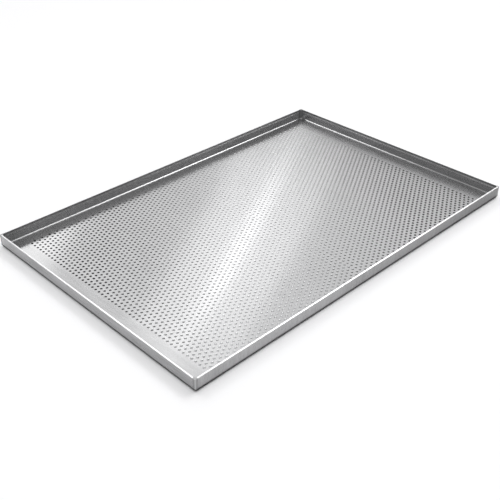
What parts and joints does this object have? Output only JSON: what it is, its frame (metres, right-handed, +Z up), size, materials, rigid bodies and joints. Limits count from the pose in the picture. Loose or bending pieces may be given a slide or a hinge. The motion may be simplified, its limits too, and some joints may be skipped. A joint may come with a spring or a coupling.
{
  "type": "baguette tray",
  "caption": "Flat perforated aluminium baking tray with four upright folded sides and welded corners.",
  "frame": {"origin": "on the underside of the floor, at the middle of the tray", "axes": "+X along the long side, +Y along the short side, +Z up out of the open top"},
  "size_m": [0.6, 0.4, 0.0186],
  "materials": {
    "sheet": "bare mill-finish aluminium sheet, faint directional grain, satin",
    "weld": "aluminium weld metal, belt-ground outside and left as laid inside"
  },
  "bodies": {
    "root": {"pan_sheet": "sheet", "corner_weld_front": "weld", "corner_weld_right": "weld", "corner_weld_back": "weld", "corner_weld_left": "weld"}
  },
  "joints": []
}
